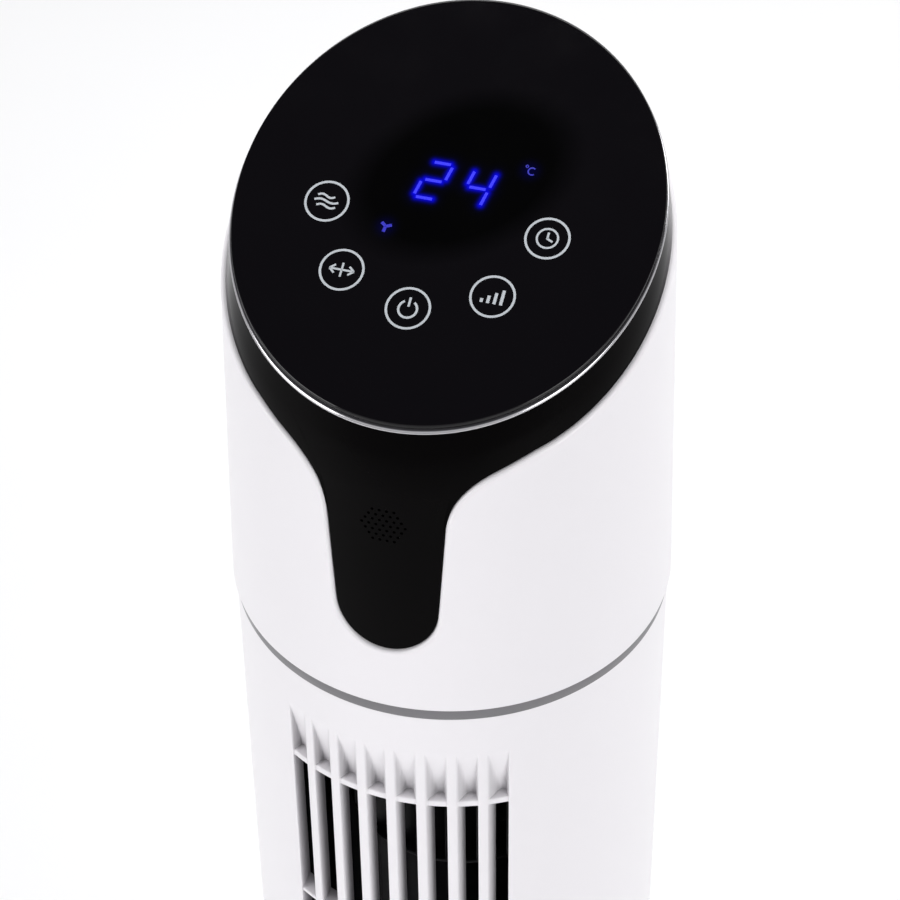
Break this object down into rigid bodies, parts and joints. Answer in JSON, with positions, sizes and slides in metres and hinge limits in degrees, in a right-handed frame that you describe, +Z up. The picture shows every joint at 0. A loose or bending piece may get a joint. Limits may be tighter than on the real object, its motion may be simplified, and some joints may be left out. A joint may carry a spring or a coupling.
{
  "type": "tower fan",
  "caption": "Oscillating tower fan: a slotted white column on a round base, with a black tilted touch panel and blue digits on top.",
  "frame": {"origin": "on the floor, under the column's axis, at the centre of the base", "axes": "+Z up; the air outlet faces -Y; +X to the right of someone facing the outlet"},
  "size_m": [0.3, 0.3, 1.0183],
  "materials": {
    "white_shell": "glossy white moulded shell with a faint cool cast",
    "white_base": "glossy white moulding",
    "trim_grey": "satin warm grey band",
    "black_gloss": "piano black",
    "black_panel": "tinted black touch window, polished",
    "bright_trim": "bright plated line",
    "key_print": "pale printed rings and symbols",
    "display_glow": "blue light-emitting segments",
    "black_matte": "black moulded plastic, fine grain",
    "impeller_black": "black impeller plastic",
    "rubber": "matt black rubber",
    "cable": "black flexible sheath",
    "nylon": "natural nylon",
    "nylon_grey": "glass-filled nylon",
    "steel": "zinc-plated screw steel",
    "zinc_steel": "zinc-plated sheet",
    "shaft_steel": "ground shaft",
    "spring_steel": "bright spring wire",
    "core_steel": "laminated electrical steel",
    "cast_aluminium": "die cast, bare",
    "copper_wire": "varnished copper winding",
    "bronze": "sintered bronze",
    "circuit_board": "green solder mask",
    "board_parts": "transformer, relays and connectors",
    "capacitor_case": "black potted case",
    "display_housing": "dark display housing",
    "dark_lens": "dark infrared lens"
  },
  "bodies": {
    "base": {"base_front_half": "white_base", "base_rear_half": "white_base", "base_floor": "black_matte", "rubber_feet": "rubber", "base_screws": "steel", "cord_gland": "rubber", "supply_lead": "cable", "slide_ring": "nylon", "oscillation_motor": "zinc_steel", "oscillation_motor_screws": "steel"},
    "pinion": {"oscillation_pinion": "nylon"},
    "column": {"turntable": "nylon_grey", "ring_gear": "nylon", "gear_screws": "steel", "retaining_ring": "zinc_steel", "retaining_screws": "steel", "lower_trim_ring": "trim_grey", "front_housing": "white_shell", "rear_housing": "white_shell", "housing_screws": "steel", "lower_bulkhead": "black_matte", "upper_bulkhead": "black_matte", "air_guide": "black_matte", "cutoff_bar": "black_matte", "motor_dampers": "rubber", "motor_upper_bell": "cast_aluminium", "motor_lower_bell": "cast_aluminium", "stator_core": "core_steel", "stator_coils": "copper_wire", "motor_screws": "steel", "run_capacitor": "capacitor_case", "bearing_holder": "rubber", "bearing_bush": "bronze", "power_board": "circuit_board", "power_parts": "board_parts", "wiring_harness": "cable", "trim_ring": "trim_grey", "head_shell": "white_shell", "head_screws": "steel", "head_insert": "black_gloss", "handle_cup": "white_shell", "panel_tray": "black_matte", "panel_rim": "bright_trim", "touch_panel": "black_panel", "control_board": "circuit_board", "board_screws": "steel", "display_module": "display_housing", "touch_springs": "spring_steel", "sensor_board": "circuit_board", "infrared_receiver": "dark_lens", "buzzer": "capacitor_case", "temperature_sensor": "capacitor_case"},
    "impeller": {"motor_rotor": "core_steel", "motor_shaft": "shaft_steel", "impeller": "impeller_black", "impeller_hub": "cast_aluminium", "hub_set_screw": "steel", "top_shaft": "shaft_steel"}
  },
  "joints": [
    {"name": "column_yaw", "type": "hinge", "parent": "base", "child": "column", "pos_m": [0, 0, 0.0472], "axis": [0, 0, 1], "range_deg": [-40, 40]},
    {"name": "pinion_spin", "type": "hinge", "parent": "base", "child": "pinion", "pos_m": [0.05635, 0, 0.041], "axis": [0, 0, 1], "range_deg": [-162, 162]},
    {"name": "impeller_spin", "type": "hinge", "parent": "column", "child": "impeller", "pos_m": [0.002, 0.006, 0.5], "axis": [0, 0, 1], "continuous": true}
  ],
  "couplings": [
    {"joint": "pinion_spin", "follows": "column_yaw", "ratio": -4}
  ]
}
